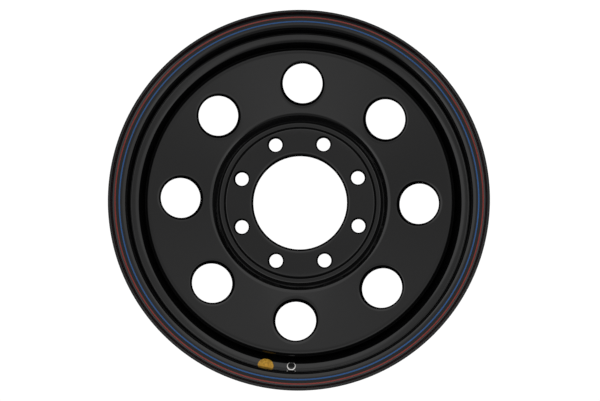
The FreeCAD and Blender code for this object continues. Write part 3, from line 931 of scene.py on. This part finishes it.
def floorMaterial():
    # The floor is white to the camera and can be looked through from below. What the paint
    # mirrors of it carries a painted shadow: dark under the wheel and pale further out.
    v = floorValues
    material = bpy.data.materials.new("floor")
    material.use_nodes = True
    nodes, links = material.node_tree.nodes, material.node_tree.links
    shader = nodes["Principled BSDF"]
    shader.inputs["Roughness"].default_value = v["rough"]
    place = nodes.new("ShaderNodeTexCoord")
    reach = nodes.new("ShaderNodeVectorMath")
    reach.operation = "LENGTH"
    # painted shadow: the floor's colour darkens towards the wheel
    shade = nodes.new("ShaderNodeMapRange")
    shade.interpolation_type = "SMOOTHSTEP"
    shade.inputs["From Min"].default_value = v["paintedShadowRadius"]
    shade.inputs["From Max"].default_value = v["lightRadius"]
    colour = nodes.new("ShaderNodeMix")
    colour.data_type = "RGBA"
    colour.inputs["A"].default_value = (*v["paintedShadow"], 1)
    colour.inputs["B"].default_value = (*v["light"], 1)
    glow = nodes.new("ShaderNodeEmission")
    glow.inputs["Strength"].default_value = v["glow"]
    ray = nodes.new("ShaderNodeLightPath")
    side = nodes.new("ShaderNodeNewGeometry")
    clear = nodes.new("ShaderNodeBsdfTransparent")
    seen, both = nodes.new("ShaderNodeMixShader"), nodes.new("ShaderNodeMixShader")
    links.new(place.outputs["Object"], reach.inputs[0])
    links.new(reach.outputs["Value"], shade.inputs["Value"])
    links.new(shade.outputs["Result"], colour.inputs["Factor"])
    links.new(colour.outputs["Result"], shader.inputs["Base Color"])
    links.new(ray.outputs["Is Camera Ray"], seen.inputs[0])
    links.new(shader.outputs["BSDF"], seen.inputs[1])
    links.new(glow.outputs["Emission"], seen.inputs[2])
    links.new(side.outputs["Backfacing"], both.inputs[0])
    links.new(seen.outputs["Shader"], both.inputs[1])
    links.new(clear.outputs["BSDF"], both.inputs[2])
    links.new(both.outputs["Shader"], nodes["Material Output"].inputs["Surface"])
    return material


innerLip = (rimValues["innerFace"] - rimValues["flangeReach"]) * millimetre
floorHeight = innerLip - floorValues["drop"]
halfFloor = floorValues["size"] / 2
floorCorners = [(x * halfFloor, y * halfFloor, floorHeight)
                for x, y in ((-1, -1), (1, -1), (1, 1), (-1, 1))]
floorMesh = bpy.data.meshes.new("floor")
floorMesh.from_pydata(floorCorners, [], [(0, 1, 2, 3)])
floorMesh.materials.append(floorMaterial())
floor = bpy.data.objects.new("floor", floorMesh)
bpy.context.scene.collection.objects.link(floor)

# A soft white studio: one curve gives the light by height in the picture, one by side.
# Each runs from -1 to 1 along its axis, and the two add up.
bpy.context.scene.view_settings.view_transform = "Standard"
skyValues = {
    "byHeight": (
        (-1.0, 0.0), (-0.82, 0.02), (-0.6, 0.62), (-0.25, 0.37), (0.0, 0.28), (0.25, 0.33),
        (0.58, 0.46), (0.74, 0.84), (1.0, 0.84)),
    "bySide": (
        (-1.0, 0.85), (-0.76, 0.8), (-0.6, 0.24), (0.0, 0.27), (0.6, 0.28), (0.76, 0.65),
        (1.0, 0.65)),
}
world = bpy.data.worlds.new("studio")
bpy.context.scene.world = world
world.use_nodes = True
skyNodes, skyLinks = world.node_tree.nodes, world.node_tree.links
background = skyNodes["Background"]
background.inputs["Color"].default_value = (1, 1, 1, 1)
direction = skyNodes.new("ShaderNodeTexCoord")
parts = skyNodes.new("ShaderNodeSeparateXYZ")
skyLinks.new(direction.outputs["Generated"], parts.inputs["Vector"])


def skyCurve(axis, points):
    # Light along one axis of the sky, as a smooth curve through the given points.
    share = skyNodes.new("ShaderNodeMapRange")
    share.inputs["From Min"].default_value = -1
    skyLinks.new(parts.outputs[axis], share.inputs["Value"])
    node = skyNodes.new("ShaderNodeFloatCurve")
    curve = node.mapping.curves[0]
    for (place, light), point in zip(points[::len(points) - 1], curve.points):
        point.location = (place / 2 + 0.5, light)
    for place, light in points[1:-1]:
        curve.points.new(place / 2 + 0.5, light)
    for point in curve.points:
        point.handle_type = "AUTO_CLAMPED"
    node.mapping.update()
    skyLinks.new(share.outputs["Result"], node.inputs["Value"])
    return node.outputs["Value"]


strength = skyNodes.new("ShaderNodeMath")
strength.operation = "ADD"
skyLinks.new(skyCurve("Y", skyValues["byHeight"]), strength.inputs[0])
skyLinks.new(skyCurve("X", skyValues["bySide"]), strength.inputs[1])
skyLinks.new(strength.outputs["Value"], background.inputs["Strength"])

# The camera was fitted to the rings of the photograph: a place, two tilts and a focal length.
# In its own frame x is right, y down and z away, with the outer lip in the plane z = 0.
cameraValues = {
    "distance": 1180.0,
    "tiltDown": -0.094235,
    "tiltSide": 0.042495,
    "shiftRight": -3.358798,
    "shiftDown": -4.778729,
    "focalPixels": 959.0,
    "imageWidth": 600,
    "turn": 1.4163,
    "lipHeight": 81.6,
    "sensor": 36.0,
    "clipStart": 0.05,
}


def fittedCamera():
    # Undoes the two tilts, flips y and z to the model's frame and turns about its axis.
    v = cameraValues
    ct, st = math.cos(v["tiltDown"]), math.sin(v["tiltDown"])
    cs, ss = math.cos(v["tiltSide"]), math.sin(v["tiltSide"])
    tiltX = np.array([[1, 0, 0], [0, ct, -st], [0, st, ct]])
    tiltY = np.array([[cs, 0, ss], [0, 1, 0], [-ss, 0, cs]])
    flip = np.diag([1, -1, -1])
    axes = turned(tiltY @ tiltX @ flip, v["turn"])  # rows: right, down and ahead
    toWheel = -np.array([v["shiftRight"], v["shiftDown"], v["distance"]])
    place = (toWheel @ axes + np.array([0, 0, v["lipHeight"]])) * millimetre
    matrix = np.eye(4)
    matrix[:3, :3] = (flip @ axes).T
    matrix[:3, 3] = place
    lens = bpy.data.cameras.new("camera")
    lens.sensor_width = v["sensor"]
    lens.lens = v["focalPixels"] / v["imageWidth"] * v["sensor"]
    lens.clip_start = v["clipStart"]
    camera = bpy.data.objects.new("camera", lens)
    bpy.context.scene.collection.objects.link(camera)
    camera.matrix_world = Matrix(matrix.tolist())
    bpy.context.scene.camera = camera


fittedCamera()
